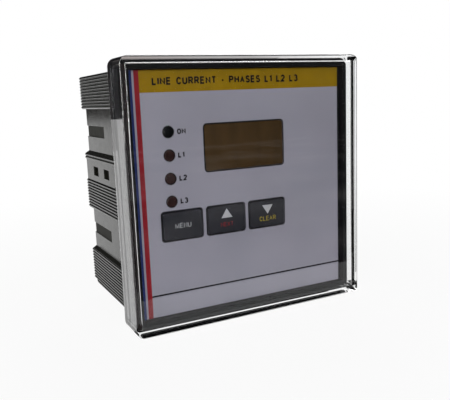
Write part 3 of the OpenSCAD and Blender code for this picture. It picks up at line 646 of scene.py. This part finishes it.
def soft_key(name, body):
    """Key cap with a crowned front and its hidden flange, in place of the plain CAD key."""
    low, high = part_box(name)
    middle = (low + high) / 2
    half_w, half_h = (high.x - low.x) / 2, (high.z - low.z) / 2
    cap_w, cap_h = half_w - KEY_FLANGE_W, half_h - KEY_FLANGE_W
    flange_y = high.y - KEY_FLANGE_T
    rings = []
    for inset, depth in CROWN:
        ring = rounded_ring(cap_w - inset, cap_h - inset, KEY_R - min(inset, CROWN_SHRINK))
        rings.append((low.y + depth, ring))
    rings.append((flange_y, rounded_ring(cap_w, cap_h, KEY_R)))
    rings.append((flange_y, rounded_ring(half_w, half_h, KEY_R)))
    rings.append((high.y, rounded_ring(half_w, half_h, KEY_R)))
    bm = bmesh.new()
    add_skin(bm, [[(middle.x + x, y, middle.z + z) for x, z in ring] for y, ring in rings])
    piece = finish_mesh(name + "_cap", bm, finishes["key_plastic"], body)
    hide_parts(name)
    inset = Vector((KEY_FLANGE_W, 0, KEY_FLANGE_W))
    cap_box = (low + inset, high - inset)
    # A black ring round the cap, painted shade of the gap round the key
    outline = "painted_shade_" + name.removeprefix("key_")
    painted_gap_shade(outline, cap_box, KEY_GAP, KEY_SHADE_W, KEY_R - KEY_GAP)
    return middle.x, low.y, middle.z


ARROW_HALF, ARROW_RISE = 2.3 * MM, 1.9 * MM
ARROW_FOOT, ARROW_TIP = 0.6 * ARROW_HALF, 0.9 * ARROW_HALF


def arrow(name, x, y, z, way, body):
    """Solid triangle that points up or down."""
    foot, tip = z - way * ARROW_FOOT, z + way * ARROW_TIP
    bm = bmesh.new()
    add_plate(bm, [(x - ARROW_HALF, foot), (x + ARROW_HALF, foot), (x, tip)], y - INK_T, y + INK_SUNK)
    finish_mesh(name, bm, white_ink, body)


WORD_DROP = 1.9 * MM
# Key, body, way of the arrow, word, its style and its ink
ARROW_KEYS = (
    ("key_up", "up_key", 1, "NEXT", NEXT_STYLE, red_legend),
    ("key_down", "down_key", -1, "CLEAR", CLEAR_STYLE, yellow_legend),
)

key_front = soft_key("key_mode", "mode_key")
lettering("legend_mode", "MENU", MENU_STYLE, key_front, white_ink, "mode_key", middle=True)
for key, body, way, word, style, colour in ARROW_KEYS:
    x, y, z = soft_key(key, body)
    suffix = key.removeprefix("key_")
    arrow("arrow_" + suffix, x, y, z + ARROW_RISE, way, body)
    word_at = (x, y, z - WORD_DROP)
    lettering("legend_" + suffix, word, style, word_at, colour, body, middle=True)


# Studio world and floor

DOME_LIGHT = 0.3
DOME_TOP = (0.55, 0.56, 0.58, 1.0)


def seen_directly(tree):
    """1 for rays that come from the camera, a reflection or a clear part."""
    rays = tree.nodes.new("ShaderNodeLightPath")
    unbent = compute(tree, "MAXIMUM", rays.outputs["Is Camera Ray"], rays.outputs["Is Glossy Ray"])
    return compute(tree, "MAXIMUM", unbent, rays.outputs["Is Transmission Ray"])


def studio_world():
    """White for what is seen directly, in a reflection or through the cover; a soft grey dome for light."""
    world = bpy.data.worlds.new("studio")
    scene.world = world
    world.use_nodes = True
    tree = world.node_tree
    light = tree.nodes["Background"]
    light.inputs["Strength"].default_value = DOME_LIGHT
    direction = tree.nodes.new("ShaderNodeTexCoord").outputs["Generated"]
    dome = ramp(tree, component(tree, direction, "Z"), (0.0, WHITE), (1.0, DOME_TOP))
    tree.links.new(dome, light.inputs["Color"])
    seen = tree.nodes.new("ShaderNodeBackground")
    seen.inputs["Color"].default_value = WHITE
    tree.links.new(seen_directly(tree), mix_shaders(tree, light, seen, tree.nodes["World Output"]))


FLOOR_HALF, FLOOR_Z = 6.0, -0.6 * MM
FLOOR_DARK, FLOOR_PALE, FLOOR_PATCH = (0.6, 0.6, 0.6, 1.0), (0.64, 0.64, 0.64, 1.0), 0.4
FLOOR_ROUGHNESS, FLOOR_GLOSS = 0.8, 0.1
FLOOR_GLOW = 0.93
GLOW_NEAR, GLOW_FAR = 0.08, 0.3


def stage_plane(name, corners, material):
    """Flat piece of the studio from its corners."""
    mesh = bpy.data.meshes.new(name)
    mesh.from_pydata(corners, [], [range(len(corners))])
    mesh.materials.append(material)
    plane = bpy.data.objects.new(name, mesh)
    scene.collection.objects.link(plane)
    plane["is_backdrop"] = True
    return plane


def level(x0, x1, y0, y1, z):
    """Corners of a plane that lies flat."""
    return [(x0, y0, z), (x1, y0, z), (x1, y1, z), (x0, y1, z)]


def upright(x0, x1, y, z0, z1):
    """Corners of a plane that stands across Y."""
    return [(x0, y, z0), (x1, y, z0), (x1, y, z1), (x0, y, z1)]


def studio_floor():
    """Pale floor that stays white to the eye and still takes the part's shadow."""
    material, tree, shader = new_material("pale_floor")
    patches = ramp(tree, noise(tree, FLOOR_PATCH), (NOISE_LOW, FLOOR_DARK), (NOISE_HIGH, FLOOR_PALE))
    tree.links.new(patches, shader.inputs["Base Color"])
    shader.inputs["Roughness"].default_value = FLOOR_ROUGHNESS
    shader.inputs["Specular IOR Level"].default_value = FLOOR_GLOSS
    distance = tree.nodes.new("ShaderNodeVectorMath")
    distance.operation = "LENGTH"
    tree.links.new(object_place(tree), distance.inputs[0])
    fade = remap(tree, distance.outputs["Value"], GLOW_NEAR, GLOW_FAR, FLOOR_GLOW, 1.0)
    share = compute(tree, "MULTIPLY", seen_directly(tree), fade)
    glow = tree.nodes.new("ShaderNodeEmission")
    tree.links.new(share, mix_shaders(tree, shader, glow, tree.nodes["Material Output"]))
    stage_plane("floor", level(-FLOOR_HALF, FLOOR_HALF, -FLOOR_HALF, FLOOR_HALF, FLOOR_Z), material)


# Glowing cards that only the gloss and the clear cover pick up: painted reflections and painted shade

# Glow of the painted reflections: black, dim glints and paler glints
BLACK, DIM, PALE = 0.004, 0.05, 0.2
CLOUD_LOW, CLOUD_HIGH = 0.42, 0.7
WIDE_CLOUD, SMALL_CLOUD = 0.25, 0.09


def glow_by_itself(tree, shader, colour):
    """Gives a card light of its own, so that it needs no lamp."""
    tree.nodes.remove(shader)
    glow = tree.nodes.new("ShaderNodeEmission")
    tree.links.new(colour, glow.inputs["Color"])
    tree.links.new(glow.outputs["Emission"], tree.nodes["Material Output"].inputs["Surface"])


def painted_dark_and_glints(name, pale, patch):
    """Glowing card, black with paler clouds: painted darkness with painted glints."""
    material, tree, shader = new_material(name)
    stops = ((CLOUD_LOW, shade((BLACK,) * 3)), (CLOUD_HIGH, shade((pale,) * 3)))
    glow_by_itself(tree, shader, ramp(tree, noise(tree, patch, detail=1.5), *stops))
    return material


def side_paint(name, colours):
    """Glowing card whose painted colour changes along X, from (place, colour) pairs in metres."""
    material, tree, shader = new_material(name)
    across = component(tree, object_place(tree), "X")
    glow_by_itself(tree, shader, ramp(tree, across, *[(x, shade(colour)) for x, colour in colours]))
    return material


def reflection_card(name, corners, material, in_gloss=True, through_glass=True):
    """Card that shows only in gloss and through clear plastic."""
    card = stage_plane(name, corners, material)
    card.visible_camera = False
    card.visible_diffuse = False
    card.visible_shadow = False
    card.visible_glossy = in_gloss
    card.visible_transmission = through_glass


CARD_Z = -0.3 * MM
CARD_LEFT, CARD_RIGHT = -60 * MM, 1.6
CARD_FAR, CARD_MID, CARD_NEAR = -0.8, -75 * MM, -30 * MM
FRONT_LEFT, FRONT_TOP = -0.3, 1.2


def front_cards(grey):
    """Painted dark reflections: a card in front of the part and cards on the floor before it, the far floor
    card with painted glints.
    """
    reflection_card("card_front", upright(FRONT_LEFT, CARD_RIGHT, CARD_FAR, CARD_Z, FRONT_TOP), grey)
    cloudy = painted_dark_and_glints("card_painted_glints", PALE, SMALL_CLOUD)
    reflection_card("card_floor", level(CARD_LEFT, CARD_RIGHT, CARD_FAR, CARD_MID, CARD_Z), cloudy)
    near = level(CARD_LEFT, CARD_RIGHT, CARD_MID, CARD_NEAR, CARD_Z)
    reflection_card("card_near", near, grey, through_glass=False)


SILL_SIDE, SILL_FRONT, SILL_BACK = 12 * MM, 0.75 * MM, 1.05 * MM
UNDER_IN_LEFT, UNDER_IN_RIGHT, UNDER_IN_BACK = 4 * MM, 12 * MM, 0.75 * MM
RIM_REACH, RIM_W, RIM_GAP = 1.1 * MM, 2.4 * MM, 0.25 * MM
# Painted shade behind the left rim, dark and reddish along X
RIM_COLOURS = ((0.0, (0.02, 0.015, 0.015)), (1.0, (0.03, 0.022, 0.022)))


def close_cards(grey):
    """Painted shadow: dark cards right under the part and behind the left rim of its cover."""
    low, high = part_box("clear_cover")
    sill = level(low.x - SILL_SIDE, high.x + SILL_SIDE, low.y - SILL_FRONT, high.y + SILL_BACK, CARD_Z)
    reflection_card("card_sill", sill, grey, in_gloss=False)
    under_left, under_right = cad_low.x + UNDER_IN_LEFT, cad_high.x - UNDER_IN_RIGHT
    under = level(under_left, under_right, CARD_NEAR, cad_high.y - UNDER_IN_BACK, CARD_Z)
    reflection_card("card_under", under, grey, through_glass=False)
    rim = upright(low.x - RIM_REACH, low.x + RIM_W, high.y + RIM_GAP, 0, high.z)
    reflection_card("card_rim", rim, side_paint("card_rim", RIM_COLOURS), in_gloss=False)


BACK_LEFT, BACK_RIGHT, BACK_FOOT = -2.0, 0.6, 57 * MM
BACK_Y, BACK_TOP = 0.6, 1.4
BEHIND_Y, BEHIND_TOP = 0.62, 0.5
# Glow of the painted reflections behind the part, along X
BACK_COLOURS = ((0.0, (0.02, 0.02, 0.022)), (0.3, (0.05, 0.05, 0.05)), (0.6, (1, 1, 1)))
BEHIND_COLOURS = (
    (0.04, (0.02, 0.02, 0.02)),
    (0.16, (0.36, 0.32, 0.31)),
    (0.38, (0.5, 0.49, 0.49)),
    (0.54, (1, 1, 1)),
)


def back_cards():
    """Painted reflections behind the part: a dark one for the gloss and one for the view through the cover,
    dark then brown then white.
    """
    back = upright(BACK_LEFT, BACK_RIGHT, BACK_Y, BACK_FOOT, BACK_TOP)
    reflection_card("card_back", back, side_paint("card_dim", BACK_COLOURS), through_glass=False)
    behind = upright(BACK_LEFT, BACK_RIGHT, BEHIND_Y, BACK_FOOT, BEHIND_TOP)
    reflection_card("card_behind", behind, side_paint("card_brown", BEHIND_COLOURS), in_gloss=False)


# Lamps and camera

# Name, place, size and power of each lamp
LAMPS = (
    ("key_left", (-0.9, -0.25, 0.2), (0.6, 0.4), 5.5),
    ("fill_front", (-0.15, -1.0, 0.3), (0.7, 0.5), 5.5),
    ("rim_back", (0.4, 0.85, 0.55), (0.6, 0.6), 5.0),
)


def softbox(name, place, aim, size, power):
    """Area lamp aimed at a point."""
    lamp = bpy.data.lights.new(name, "AREA")
    lamp.shape = "RECTANGLE"
    lamp.size, lamp.size_y = size
    lamp.energy = power
    lamp_object = bpy.data.objects.new(name, lamp)
    lamp_object.location = place
    lamp_object.rotation_euler = (aim - Vector(place)).to_track_quat("-Z", "Y").to_euler()
    scene.collection.objects.link(lamp_object)


CAMERA_AT = Vector((-106.65, -224.37, 81.24)) * MM
CAMERA_AIM = Vector((4.92, -4.74, 38.67)) * MM
CAMERA_ROLL = math.radians(-2.3)
CAMERA_CLIP = (0.01, 20.0)
PHOTO_W = 450
FOCAL_PX = 590.2
SENSOR = 36.0


def photo_camera():
    """Camera at the photograph's place."""
    data = bpy.data.cameras.new("camera")
    data.sensor_width = SENSOR
    data.lens = FOCAL_PX / PHOTO_W * SENSOR
    data.clip_start, data.clip_end = CAMERA_CLIP
    camera = bpy.data.objects.new("camera", data)
    scene.collection.objects.link(camera)
    camera.rotation_mode = "QUATERNION"
    camera.location = CAMERA_AT
    turn = (CAMERA_AIM - CAMERA_AT).to_track_quat("-Z", "Y")
    camera.rotation_quaternion = turn @ Euler((0, 0, CAMERA_ROLL)).to_quaternion()
    scene.camera = camera


studio_world()
studio_floor()
# Dark glowing card with faint glints: painted dark reflections and painted shadow under the part
painted_dark_card = painted_dark_and_glints("card_grey", DIM, WIDE_CLOUD)
front_cards(painted_dark_card)
close_cards(painted_dark_card)
back_cards()
centre = (cad_low + cad_high) / 2
for name, place, size, power in LAMPS:
    softbox(name, place, centre, size, power)
photo_camera()

low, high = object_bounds()
